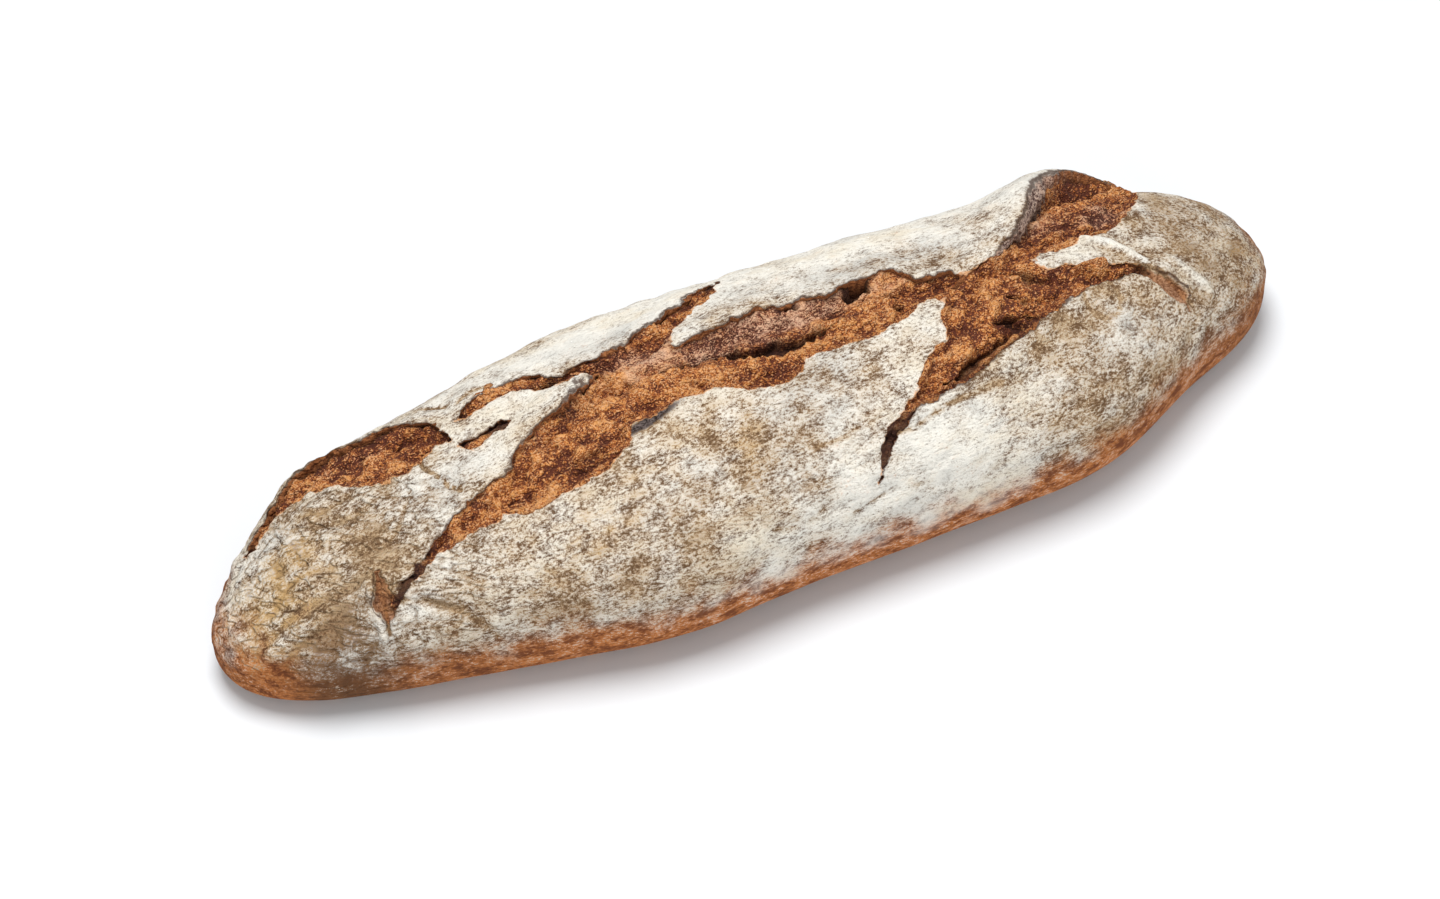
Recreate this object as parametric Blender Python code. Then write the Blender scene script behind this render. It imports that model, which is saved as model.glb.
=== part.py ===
"""Rustic buckwheat bread loaf, baked free on the oven floor: one solid, about 420 mm long.

The loaf is a long oval with blunt round ends, a crown, full sides and a flat base.
Its crust tore open along the top as it rose, so the crumb shows in long ragged openings
whose crust lifts on one side. +X runs along the loaf, +Y away from the side that is
usually seen, and +Z up. The origin is under the middle of the loaf, on the base.
"""

from typing import NamedTuple

import bmesh
import bpy
import numpy as np
from mathutils import Vector, noise

MM = 0.001

# Driving dimensions of the whole loaf
LENGTH = 420 * MM
CROWN_STATIONS = (-1.0, -0.8, -0.55, -0.28, 0.0, 0.28, 0.55, 0.8, 1.0)  # shares of half the length
FRONT_WIDTHS = tuple(w * MM for w in (70, 61, 59, 64, 62, 65, 72, 61, 69))  # from the crest line to -Y
BACK_WIDTHS = tuple(w * MM for w in (53, 68, 61, 61, 55, 55, 57, 61, 71))  # from the crest line to +Y
CROWN_HEIGHTS = tuple(h * MM for h in (58, 69, 75, 78, 79, 79, 78, 75, 70))
BELLY_SHARE = 0.38  # height of the widest level, as a share of the crown's
BASE_SINK = 7 * MM  # how far the underside would bulge below the oven floor

# Roundness, as exponents: 2 is an ellipse, and more is blunter
PLAN_ROUNDNESS = 2.0
CROWN_ROUNDNESS = 2.3
BASE_ROUNDNESS = 4.0
SIDE_FULLNESS = 0.85  # under 1 the section is squarer than an ellipse
TOP_FULLNESS = 0.85
UNDER_FULLNESS = 0.6

# Mesh
RINGS = 300
RING_POINTS = 190
TRIANGLES = 11200

# The torn edge: where the crust ends and how it drops to the crumb
EDGE_TOP = 0.5 * MM
EDGE_FOOT = -3.0 * MM
RAGGED_WAVES = ((9 * MM, 1.5 * MM), (4 * MM, 0.6 * MM))  # (wave length, how far the edge strays)
CRUMB_WAVES = ((7 * MM, 1.6 * MM), (3.5 * MM, 0.8 * MM))  # lumps of the torn crumb
CRUST_WAVES = ((60 * MM, 1.2 * MM), (22 * MM, 0.5 * MM))  # slow swells of the crust
SMOOTHING = 4  # straight steps for each stretch between two stations of an opening
LIFT_UPWARD = 1.5  # how much a lifted edge rises straight up, for each part that it rises off the crust


class Tear(NamedTuple):
    """An opening in the crust, seen from above.

    stations are (x, y, half width, lip height) in millimetres. The crust on the side that
    lifts_to points at rises by the lip height, and the rise fades over reach.
    """

    stations: tuple
    depth: float
    swell: float
    lifts_to: tuple = (0.0, 1.0)
    reach: float = 6 * MM


TEARS = {
    "nose_tear": Tear(
        ((-189, 18.5, 1, 0.5), (-180, 24, 3, 1), (-170, 29, 4.5, 2), (-160, 31, 8, 3), (-149, 27.5, 9.5, 3),
         (-138, 22.5, 10.5, 3), (-128, 20.5, 11, 3), (-120, 21, 6.5, 2), (-112.5, 14, 0.8, 1)),
        depth=4.5 * MM, swell=2 * MM,
    ),
    "shoulder_crack": Tear(
        ((-126, 9, 1, 1), (-122, -2, 0.9, 0.5), (-118, -8, 0.4, 0)),
        depth=2.5 * MM, swell=0, lifts_to=(-1.0, 0.0), reach=4 * MM,
    ),
    "shoulder_nick": Tear(
        ((-110, 10, 0.8, 0.5), (-105, 8, 2.4, 1), (-98, 9.5, 1.2, 1), (-90, 10.5, 0.4, 0.5)),
        depth=3 * MM, swell=0, reach=4 * MM,
    ),
    "back_tear": Tear(
        ((-106, 21, 1, 1), (-98, 24.5, 4, 2), (-88, 24.5, 2.8, 2), (-80, 24, 2.5, 2), (-72, 18.5, 3, 3),
         (-62, 17, 3.5, 3), (-52, 15.5, 5, 3.5), (-42, 17, 5, 3.5), (-33, 20, 5.5, 3.5), (-25, 23.5, 4.2, 3.5),
         (-16, 29, 3.5, 3), (-8, 33, 3, 2.5), (0, 38, 1, 1), (3, 39, 0.4, 0.5)),
        depth=5 * MM, swell=1 * MM, reach=7 * MM,
    ),
    "long_tear": Tear(
        ((-152, -30, 0.8, 0.5), (-140, -25, 1.2, 1.5), (-128, -20.5, 2.8, 1.5), (-118, -18.5, 3.8, 2),
         (-108, -17, 6, 2), (-98, -16.5, 8, 2.5), (-90, -14.5, 11, 2.5), (-80, -11, 14, 3), (-70, -8, 14.5, 3),
         (-60, -1.5, 12.5, 2.5), (-50, -0.5, 11.5, 2), (-38, 0.5, 10.5, 2), (-28, 0.5, 11, 2),
         (-18, 0, 12.5, 2.5), (-8, -2, 15, 3), (-2, -2.5, 16.5, 3), (5, 0, 14, 3), (14, 0, 12, 3),
         (26, -1, 11.5, 3), (38, -1.5, 11.5, 3.5), (50, 0, 10.5, 3.5), (58, -0.5, 7, 2.5), (66, -1, 5, 2),
         (76, -1, 3.2, 2)),
        depth=6 * MM, swell=3 * MM, reach=8 * MM,
    ),
    "near_tear": Tear(
        ((20, -58, 0.4, 0), (25, -52, 1, 0.5), (30, -47, 2, 0.5), (38, -42.5, 3, 1), (47, -38.5, 4.5, 1.5),
         (56, -34, 7, 2), (66, -30.5, 8.5, 2), (74, -26, 11, 2.5), (84, -17, 16.5, 2.5), (96, -14, 14.5, 3),
         (106, -15.5, 10, 3), (114, -15.5, 7.5, 3), (124, -14.5, 5.8, 2.5), (134, -15, 4.8, 2),
         (142, -16.5, 3, 1.5), (148, -17.5, 0.8, 1)),
        depth=6 * MM, swell=3 * MM, lifts_to=(0.3, -1.0), reach=7 * MM,
    ),
    "flap_tear": Tear(
        ((97, 0, 2, 3), (106, 4, 5.5, 5), (116, 8.5, 9, 7), (126, 13.5, 13, 9), (137, 19, 16.5, 11),
         (148, 23, 15, 10), (158, 27, 10, 6), (166, 29, 4.5, 2)),
        depth=5 * MM, swell=2 * MM, lifts_to=(-0.45, 0.9), reach=15 * MM,
    ),
    "end_scar": Tear(
        ((146, -17, 1, 0.5), (151, -20, 3, 0.8), (156, -24.5, 3.8, 0.8), (159, -29, 2.5, 0.5), (160, -33, 0.5, 0)),
        depth=1.8 * MM, swell=0, lifts_to=(1.0, 0.3), reach=5 * MM,
    ),
    "nose_fold": Tear(
        ((-154, -19, 0.8, 1), (-154.5, -24, 2.8, 1.5), (-156, -30, 2.4, 1.5), (-156, -36, 0.8, 1)),
        depth=2.2 * MM, swell=0, lifts_to=(-1.0, 0.0), reach=6 * MM,
    ),
    "inner_fold": Tear(
        ((-48, 6, 0.6, 0), (-30, 5, 1.4, 1), (-13, 4.5, 2, 1.5), (-6, -0.5, 3, 2), (2, -2.5, 3.4, 2),
         (10, -2.5, 3.2, 2), (19, -2.5, 2.4, 1.5), (28, -2.5, 0.8, 0)),
        depth=9 * MM, swell=0, reach=8 * MM,
    ),
    "gas_pocket": Tear(((39, 8.5, 2, 0), (45, 9, 3, 0)), depth=11 * MM, swell=0),
    "near_slit": Tear(((84, -21.5, 1, 0), (90, -22, 2, 0), (96, -22.5, 0.8, 0)), depth=8 * MM, swell=0),
    "far_pocket": Tear(((134, -18, 1.6, 0), (141, -17, 2, 0)), depth=9 * MM, swell=0),
}


def smooth_step(low, high, values):
    """0 below low and 1 above high, easing in and out between them. low may be the larger."""
    share = np.clip((values - low) / (high - low), 0, 1)
    return share * share * (3 - 2 * share)


def through(stations, values, places):
    """A smooth curve through the values at the stations, read at places."""
    at, value = np.asarray(stations, float), np.asarray(values, float)
    slope = np.gradient(value, at)
    slope[1:-1] = (value[2:] - value[:-2]) / (at[2:] - at[:-2])
    i = np.clip(np.searchsorted(at, places) - 1, 0, len(at) - 2)
    span = at[i + 1] - at[i]
    u = (places - at[i]) / span
    return (
        (2 * u**3 - 3 * u**2 + 1) * value[i]
        + (u**3 - 2 * u**2 + u) * span * slope[i]
        + (3 * u**2 - 2 * u**3) * value[i + 1]
        + (u**3 - u**2) * span * slope[i + 1]
    )


def waves(points, sizes):
    """Sum of soft random waves at each point. sizes are (wave length, height) pairs."""
    total = np.zeros(len(points))
    for length, height in sizes:
        total += height * np.array([noise.noise(Vector(p) / length) for p in points])
    return total


def end_share(t, roundness):
    """How much of its full width or height the loaf keeps at t, from -1 at one tip to 1 at the other."""
    return np.clip(1 - np.abs(t) ** roundness, 0, 1) ** (1 / roundness)


def ring_places(u):
    """Places along the loaf for u from -1 to 1, evenly spaced over the curve of its outline."""
    t = np.sin(np.linspace(-1, 1, 801) * np.pi / 2)
    mean_width = (through(CROWN_STATIONS, FRONT_WIDTHS, t) + through(CROWN_STATIONS, BACK_WIDTHS, t)) / 2
    outline = np.stack([t * LENGTH / 2, mean_width * end_share(t, PLAN_ROUNDNESS)])
    run = np.concatenate([[0], np.cumsum(np.hypot(*np.diff(outline)))])
    return np.interp(u, run / run[-1] * 2 - 1, t)


def section(t):
    """(front width, back width, belly level, crown over the belly) of the loaf at t, from -1 to 1."""
    crown = through(CROWN_STATIONS, CROWN_HEIGHTS, t)
    crown_share = end_share(t, CROWN_ROUNDNESS)
    width_share = end_share(t, PLAN_ROUNDNESS)
    return (
        through(CROWN_STATIONS, FRONT_WIDTHS, t) * width_share,
        through(CROWN_STATIONS, BACK_WIDTHS, t) * width_share,
        BELLY_SHARE * crown * (0.75 + 0.25 * crown_share),
        (1 - BELLY_SHARE) * crown * crown_share,
    )


def loaf_form(directions):
    """Points of the untorn loaf for unit directions from the middle, with X along the loaf."""
    t = ring_places(np.arcsin(np.clip(directions[:, 0], -1, 1)) / (np.pi / 2))
    across = np.maximum(np.hypot(directions[:, 1], directions[:, 2]), 1e-9)
    c, s = directions[:, 1] / across, directions[:, 2] / across
    front, back, belly, rise = section(t)
    deepest = BELLY_SHARE * through(CROWN_STATIONS, CROWN_HEIGHTS, t) + BASE_SINK
    drop = deepest * end_share(t, BASE_ROUNDNESS) * np.abs(s) ** UNDER_FULLNESS
    return np.stack(
        [
            t * LENGTH / 2,
            np.where(c < 0, front, back) * np.sign(c) * np.abs(c) ** SIDE_FULLNESS,
            belly + np.where(s >= 0, rise * np.abs(s) ** TOP_FULLNESS, -drop),
        ],
        axis=1,
    )


def on_crown(plan):
    """Points of the untorn upper crust that lie over plan points."""
    front, back, belly, rise = section(plan[:, 0] / (LENGTH / 2))
    share = np.abs(plan[:, 1]) / np.where(plan[:, 1] < 0, front, back)
    c = np.clip(share, 0, 1) ** (1 / SIDE_FULLNESS)
    return np.column_stack([plan, belly + rise * (1 - c**2) ** (TOP_FULLNESS / 2)])


def unrolled(points):
    """(place along the loaf, distance from the crest line) of points, as if the crust lay flat."""
    _, _, belly, rise = section(points[:, 0] / (LENGTH / 2))
    from_crest = np.hypot(points[:, 1], belly + rise - points[:, 2])
    return np.column_stack([points[:, 0], np.sign(points[:, 1]) * from_crest])


def tear_distance(tear, flat):
    """(distance past the tear's edge, lip height, place across the tear) for unrolled points.

    The distance is negative inside the opening. The place across is a vector, 0 on the tear's
    spine and 1 long from its edge outwards.
    """
    stations = np.asarray(tear.stations, float) * MM
    order = np.arange(len(stations))
    fine = np.linspace(0, len(stations) - 1, (len(stations) - 1) * SMOOTHING + 1)
    path = np.stack([through(order, column, fine) for column in stations.T], axis=1)
    path[:, :2] = unrolled(on_crown(path[:, :2]))
    nearest = np.full(len(flat), np.inf)
    lip = np.zeros(len(flat))
    across = np.zeros((len(flat), 2))
    for start, end in zip(path[:-1], path[1:]):
        run = end[:2] - start[:2]
        share = np.clip((flat - start[:2]) @ run / (run @ run), 0, 1)
        offset = flat - start[:2] - share[:, None] * run
        length = np.hypot(*offset.T)
        width, lip_here = (start[2:] + share[:, None] * (end - start)[2:]).T
        closer = length - width < nearest
        nearest = np.where(closer, length - width, nearest)
        lip = np.where(closer, lip_here, lip)
        across = np.where(closer[:, None], offset / np.maximum(length, width)[:, None], across)
    return nearest, lip, across


def relief(points):
    """How the tears change the crust at points of the untorn loaf.

    It gives the height off the crust, the rise of the lifted edges, and the distance past the
    nearest torn edge.
    """
    flat = unrolled(points)
    ragged = waves(points, RAGGED_WAVES)
    crumb = waves(points, CRUMB_WAVES)
    edge = np.full(len(points), np.inf)
    floor = np.zeros(len(points))
    raised = np.zeros(len(points))
    for tear in TEARS.values():
        distance, lip, across = tear_distance(tear, flat)
        calm = smooth_step(4 * MM, 12 * MM, np.abs(distance))  # far from the edge nothing is ragged
        distance = distance + ragged * (1 - calm)
        inside = smooth_step(EDGE_TOP, EDGE_FOOT, distance)
        side = np.asarray(tear.lifts_to) / np.hypot(*tear.lifts_to)
        facing = np.clip(0.25 + 0.75 * (across @ side), 0.12, 1)
        bulge = tear.swell * smooth_step(EDGE_FOOT, 4 * EDGE_FOOT, distance)
        floor = np.minimum(floor, (bulge - tear.depth * (0.6 + 0.4 * facing)) * inside)
        fading = np.exp(-((np.maximum(distance, 0) / tear.reach) ** 2))
        raised = np.maximum(raised, lip * facing * fading * (1 - inside))
        edge = np.minimum(edge, distance)
    torn = smooth_step(EDGE_TOP, EDGE_FOOT, edge)
    return floor + crumb * torn, raised, edge


def finish(name, colour, roughness):
    """A plain surface of one colour."""
    material = bpy.data.materials.new(name)
    material.use_nodes = True
    shader = material.node_tree.nodes["Principled BSDF"]
    shader.inputs["Base Color"].default_value = (*colour, 1)
    shader.inputs["Roughness"].default_value = roughness
    shader.inputs["Metallic"].default_value = 0
    material.diffuse_color = (*colour, 1)
    return material


def make_loaf(collection):
    """The loaf before its base is cut flat: a sphere drawn out to its form, then torn."""
    bm = bmesh.new()
    bmesh.ops.create_uvsphere(bm, u_segments=RING_POINTS, v_segments=RINGS, radius=1)
    mesh = bpy.data.meshes.new("loaf")
    bm.to_mesh(mesh)
    bm.free()
    sphere = np.array([v.co for v in mesh.vertices])
    directions = sphere[:, (2, 0, 1)]  # the sphere's poles become the loaf's tips
    form = loaf_form(directions)
    mesh.vertices.foreach_set("co", form.ravel())
    mesh.update()
    normals = np.array([v.normal for v in mesh.vertices])
    height, raised, edge = relief(form)
    upper = smooth_step(-0.1, 0.25, normals[:, 2])
    lift = normals + (0, 0, LIFT_UPWARD)
    lift /= np.linalg.norm(lift, axis=1)[:, None]
    off_crust = height * upper + waves(form, CRUST_WAVES)
    placed = form + normals * off_crust[:, None] + lift * (raised * upper)[:, None]
    middle = (placed.max(0) + placed.min(0)) / 2
    placed[:, :2] -= middle[:2]
    mesh.vertices.foreach_set("co", placed.ravel())
    mesh.update()

    for material in (
        finish("floured_crust", (0.50, 0.43, 0.34), 0.9),
        finish("torn_crumb", (0.38, 0.14, 0.045), 0.8),
        finish("bare_crust", (0.30, 0.13, 0.06), 0.7),
    ):
        mesh.materials.append(material)
    for face in mesh.polygons:
        corners = list(face.vertices)
        if edge[corners].mean() < 0 and upper[corners].mean() > 0.5:
            face.material_index = 1
        elif placed[corners, 2].mean() < 14 * MM:
            face.material_index = 2
    mesh.shade_smooth()
    loaf = bpy.data.objects.new("loaf", mesh)
    collection.objects.link(loaf)
    return loaf


def make_oven_floor(collection):
    """A block under the loaf, whose top is the oven floor that the base is cut by."""
    bpy.ops.mesh.primitive_cube_add(size=1, location=(0, 0, -0.5 * LENGTH))
    block = bpy.context.object
    block.name = "oven_floor_cutter"
    block.scale = (2 * LENGTH, LENGTH, LENGTH)
    for owner in list(block.users_collection):
        owner.objects.unlink(block)
    collection.objects.link(block)
    block.hide_render = True
    block.display_type = "WIRE"
    return block


def main():
    for old in list(bpy.data.objects):
        bpy.data.objects.remove(old)
    parts = bpy.data.collections.new("buckwheat_loaf")
    cutters = bpy.data.collections.new("cutters")
    for collection in (parts, cutters):
        bpy.context.scene.collection.children.link(collection)

    loaf = make_loaf(parts)
    thin = loaf.modifiers.new("fewer faces where the crust is plain", "DECIMATE")
    thin.ratio = TRIANGLES / (2 * RING_POINTS * (RINGS - 1))
    base = loaf.modifiers.new("flat base", "BOOLEAN")
    base.operation = "DIFFERENCE"
    base.solver = "EXACT"
    base.object = make_oven_floor(cutters)


main()
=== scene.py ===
"""Looks of the rustic buckwheat loaf: floured crust, torn crumb and browned base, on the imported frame.

The loaf is two closed meshes: the crust, which is finest where it is torn, and the crumb inside
it. Their form follows the sizes of the solid that they replace. Places on the loaf are (x, y) in
millimetres as seen from above, with +X along the loaf and +Y away from the camera.
"""

from __future__ import annotations

import logging
import math
from dataclasses import dataclass, field
from enum import Enum
from typing import NamedTuple, Sequence

import bmesh
import bpy
import numpy as np
from mathutils import Matrix, Vector, noise

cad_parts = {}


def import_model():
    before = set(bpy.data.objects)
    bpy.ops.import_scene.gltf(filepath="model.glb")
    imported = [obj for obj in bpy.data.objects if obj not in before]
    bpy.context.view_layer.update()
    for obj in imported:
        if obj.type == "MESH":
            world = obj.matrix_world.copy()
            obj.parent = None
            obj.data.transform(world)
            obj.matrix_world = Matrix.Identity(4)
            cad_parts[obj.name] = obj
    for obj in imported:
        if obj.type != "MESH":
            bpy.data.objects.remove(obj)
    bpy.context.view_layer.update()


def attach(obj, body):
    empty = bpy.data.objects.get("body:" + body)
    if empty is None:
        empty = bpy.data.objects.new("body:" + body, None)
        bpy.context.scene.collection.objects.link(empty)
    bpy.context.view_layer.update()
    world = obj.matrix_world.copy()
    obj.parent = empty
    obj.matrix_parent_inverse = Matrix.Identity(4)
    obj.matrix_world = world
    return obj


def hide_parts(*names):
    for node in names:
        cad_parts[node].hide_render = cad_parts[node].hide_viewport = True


LOG = logging.getLogger("buckwheat_loaf")

MM = 0.001
FLAP_LIFT = (1.5 * MM, 4 * MM)
FLAP_TURN = 0.6
Array = np.ndarray
Waves = Sequence[tuple[float, float]]
Colour = tuple[float, float, float]


def smooth_step(low: float, high: float, values: Array) -> Array:
    """Ease from 0 at low to 1 at high.

    Args:
        low: The value where the result is 0. It may be the larger one.
        high: The value where the result is 1.
        values: What to read.

    Returns:
        The eased shares.
    """
    share = np.clip((values - low) / (high - low), 0, 1)
    return share * share * (3 - 2 * share)


def through(stations: Sequence[float], values: Sequence[float], places: Array) -> Array:
    """Read a smooth curve through values at stations.

    Args:
        stations: Where the values are, rising.
        values: One value for each station.
        places: Where to read the curve.

    Returns:
        The curve's values at the places.
    """
    at, value = np.asarray(stations, float), np.asarray(values, float)
    slope = np.gradient(value, at)
    slope[1:-1] = (value[2:] - value[:-2]) / (at[2:] - at[:-2])
    i = np.clip(np.searchsorted(at, places) - 1, 0, len(at) - 2)
    span = at[i + 1] - at[i]
    u = (places - at[i]) / span
    return (
        (2 * u**3 - 3 * u**2 + 1) * value[i]
        + (u**3 - 2 * u**2 + u) * span * slope[i]
        + (3 * u**2 - 2 * u**3) * value[i + 1]
        + (u**3 - u**2) * span * slope[i + 1]
    )


def waves(points: Array, sizes: Waves, stretch: Sequence[float] = (1, 1, 1), seed: float = 0) -> Array:
    """Sum soft random waves at points.

    Args:
        points: Points in metres, one a row.
        sizes: Pairs of wave length and height, in millimetres.
        stretch: How much longer the waves are along X, Y and Z.
        seed: Moves the waves, so that two uses differ.

    Returns:
        The sum at each point, in millimetres.
    """
    total = np.zeros(len(points))
    for length, height in sizes:
        scaled = points / (np.asarray(stretch, float) * length * MM) + seed
        total += height * np.array([noise.noise(Vector(p)) for p in scaled.tolist()])
    return total


def turned(points: Array, degrees: float) -> Array:
    """Turn points about the upright axis.

    Args:
        points: Points, one a row.
        degrees: The angle.

    Returns:
        The turned points.
    """
    angle = math.radians(degrees)
    x, y = points[:, 0], points[:, 1]
    return np.column_stack([
        x * math.cos(angle) - y * math.sin(angle), x * math.sin(angle) + y * math.cos(angle), points[:, 2]
    ])


class Side(Enum):
    """Which way the crust beside an opening lifts, as seen from above."""

    BACK = (0.0, 1.0)
    BACK_LEFT = (-0.45, 0.9)
    FRONT = (0.3, -1.0)
    LEFT = (-1.0, 0.0)
    RIGHT = (1.0, 0.3)

    @property
    def direction(self) -> Array:
        """The unit vector of this side."""
        return np.asarray(self.value) / np.hypot(*self.value)


@dataclass(frozen=True)
class LoafForm:
    """The untorn loaf: crest line, widths, crown and flat base, all in metres."""

    length: float = 420 * MM
    stations: tuple = (-1.0, -0.8, -0.55, -0.28, 0.0, 0.28, 0.55, 0.8, 1.0)
    front_widths: tuple = tuple(w * MM for w in (70, 61, 59, 64, 62, 65, 72, 61, 69))
    back_widths: tuple = tuple(w * MM for w in (53, 68, 61, 61, 55, 55, 57, 61, 71))
    crown_heights: tuple = tuple(h * MM for h in (58, 69, 75, 78, 79, 79, 78, 75, 70))
    outline_steps: int = 801
    belly_share: float = 0.38
    belly_at_tips: float = 0.75
    base_sink: float = 7 * MM
    plan_roundness: float = 2.0
    crown_roundness: float = 2.3
    base_roundness: float = 4.0
    side_fullness: float = 0.85
    top_fullness: float = 0.85
    under_fullness: float = 0.6

    def end_share(self, t: Array, roundness: float) -> Array:
        """Share of the full width or height that the loaf keeps at t, from -1 to 1."""
        return np.clip(1 - np.abs(t) ** roundness, 0, 1) ** (1 / roundness)

    def section(self, t: Array) -> tuple[Array, Array, Array, Array]:
        """Read the loaf's cross section.

        Args:
            t: Places along the loaf, from -1 at one tip to 1 at the other.

        Returns:
            Front width, back width, belly level, and crown over the belly.
        """
        crown = through(self.stations, self.crown_heights, t)
        crown_share = self.end_share(t, self.crown_roundness)
        width_share = self.end_share(t, self.plan_roundness)
        return (
            through(self.stations, self.front_widths, t) * width_share,
            through(self.stations, self.back_widths, t) * width_share,
            self.belly_share * crown * (self.belly_at_tips + (1 - self.belly_at_tips) * crown_share),
            (1 - self.belly_share) * crown * crown_share,
        )

    def ring_places(self, u: Array) -> Array:
        """Space rings evenly over the curve of the loaf's outline.

        Args:
            u: Which ring, from -1 at one tip to 1 at the other.

        Returns:
            The rings' places along the loaf, from -1 to 1.
        """
        t = np.sin(np.linspace(-1, 1, self.outline_steps) * np.pi / 2)
        front = through(self.stations, self.front_widths, t)
        back = through(self.stations, self.back_widths, t)
        width = (front + back) / 2 * self.end_share(t, self.plan_roundness)
        run = np.concatenate([[0], np.cumsum(np.hypot(np.diff(t * self.length / 2), np.diff(width)))])
        return np.interp(u, run / run[-1] * 2 - 1, t)

    def at(self, directions: Array) -> Array:
        """Find the loaf's surface.

        Args:
            directions: Unit directions from the middle, with X along the loaf.

        Returns:
            Points of the untorn loaf, standing on the floor.
        """
        t = self.ring_places(np.arcsin(np.clip(directions[:, 0], -1, 1)) / (np.pi / 2))
        across = np.maximum(np.hypot(directions[:, 1], directions[:, 2]), 1e-9)
        c, s = directions[:, 1] / across, directions[:, 2] / across
        front, back, belly, rise = self.section(t)
        deepest = self.belly_share * through(self.stations, self.crown_heights, t) + self.base_sink
        drop = deepest * self.end_share(t, self.base_roundness) * np.abs(s) ** self.under_fullness
        return np.stack(
            [
                t * self.length / 2,
                np.where(c < 0, front, back) * np.sign(c) * np.abs(c) ** self.side_fullness,
                belly + np.where(s >= 0, rise * np.abs(s) ** self.top_fullness, -drop),
            ],
            axis=1,
        )

    def on_crown(self, plan: Array) -> Array:
        """Find the untorn upper crust over plan points.

        Args:
            plan: Places as seen from above, in metres.

        Returns:
            The points of the crust.
        """
        front, back, belly, rise = self.section(plan[:, 0] / (self.length / 2))
        share = np.abs(plan[:, 1]) / np.where(plan[:, 1] < 0, front, back)
        c = np.clip(share, 0, 1) ** (1 / self.side_fullness)
        return np.column_stack([plan, belly + rise * (1 - c**2) ** (self.top_fullness / 2)])

    def unrolled(self, points: Array) -> Array:
        """Lay the crust's points flat.

        Args:
            points: Points of the untorn loaf.

        Returns:
            Place along the loaf and distance from the crest line, for each point.
        """
        _, _, belly, rise = self.section(points[:, 0] / (self.length / 2))
        from_crest = np.hypot(points[:, 1], belly + rise - points[:, 2])
        return np.column_stack([points[:, 0], np.sign(points[:, 1]) * from_crest])


def smooth_line(stations: Sequence[Sequence[float]], form: LoafForm, parts: int) -> Array:
    """Lay a smooth line through stations on the crown.

    Args:
        stations: Rows in millimetres, each of which starts with x and y.
        form: The untorn loaf.
        parts: How many straight parts there are from one station to the next.

    Returns:
        The line's points in metres: unrolled x and y, then the other values of the rows.
    """
    rows = np.asarray(stations, float) * MM
    order = np.arange(len(rows))
    fine = np.linspace(0, len(rows) - 1, (len(rows) - 1) * parts + 1)
    line = np.stack([through(order, column, fine) for column in rows.T], axis=1)
    line[:, :2] = form.unrolled(form.on_crown(line[:, :2]))
    return line


class Nearest(NamedTuple):
    """What a point has to do with one opening, in metres."""

    distance: Array
    lip: Array
    width: Array
    across: Array


@dataclass(frozen=True)
class Opening:
    """A torn opening in the crust.

    Its stations are (x, y, half width, lip height) in millimetres, like its depth, the crumb's
    swell in it, and the reach and overhang of the lifted crust. The crust on one side lifts by
    the lip height and hangs over the opening, which is deep there.
    """

    stations: tuple
    depth: float
    swell: float = 0.0
    side: Side = Side.BACK
    reach: float = 6.0
    overhang: float = 1.0
    holds_crumb: float = 1.0
    parts: int = 4

    def measure(self, flat: Array, form: LoafForm) -> Nearest:
        """Measure unrolled points against the opening.

        Args:
            flat: Unrolled points.
            form: The untorn loaf.

        Returns:
            The distance past the opening's edge, negative inside it, the lip height and half
            width nearby, and the place across it: 0 on its middle line and 1 long outside.
        """
        path = smooth_line(self.stations, form, self.parts)
        nearest = np.full(len(flat), np.inf)
        lip, wide = np.zeros(len(flat)), np.zeros(len(flat))
        across = np.zeros((len(flat), 2))
        for start, end in zip(path[:-1], path[1:]):
            run = end[:2] - start[:2]
            share = np.clip((flat - start[:2]) @ run / (run @ run), 0, 1)
            offset = flat - start[:2] - share[:, None] * run
            length = np.hypot(*offset.T)
            width, lip_here = (start[2:] + share[:, None] * (end - start)[2:]).T
            closer = length - width < nearest
            nearest = np.where(closer, length - width, nearest)
            lip = np.where(closer, lip_here, lip)
            wide = np.where(closer, width, wide)
            across = np.where(closer[:, None], offset / np.maximum(length, width)[:, None], across)
        return Nearest(nearest, lip, wide, across)


@dataclass(frozen=True)
class Crease:
    """A fine line on the crust: a ridge where its height is over 0, or else a groove.

    Its stations are (x, y) in millimetres. width is the line's half width and fades it out.
    """

    stations: tuple
    width: float
    height: float
    flour: float = 0.0
    parts: int = 5


@dataclass(frozen=True)
class Patch:
    """A soft oval spot on the crust or crumb, in millimetres, turned by an angle in degrees."""

    x: float
    y: float
    long: float
    wide: float
    amount: float
    turn: float = 0.0

    def over(self, plan: Array) -> Array:
        """Read the spot.

        Args:
            plan: Places as seen from above, in millimetres.

        Returns:
            How much of the spot's amount is at each place.
        """
        angle = math.radians(self.turn)
        dx, dy = plan[:, 0] - self.x, plan[:, 1] - self.y
        along = (dx * math.cos(angle) + dy * math.sin(angle)) / self.long
        aside = (dy * math.cos(angle) - dx * math.sin(angle)) / self.wide
        return self.amount * np.exp(-(along**2 + aside**2))


def patches(*rows: tuple[float, ...]) -> tuple[Patch, ...]:
    """Soft spots from rows of (x, y, long, wide, amount, turn), where the turn may be left out."""
    return tuple(Patch(*row) for row in rows)


def spread(spots: Sequence[Patch], plan: Array) -> Array:
    """The sum of several soft spots at plan points, given in millimetres."""
    return sum((spot.over(plan) for spot in spots), np.zeros(len(plan)))


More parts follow.
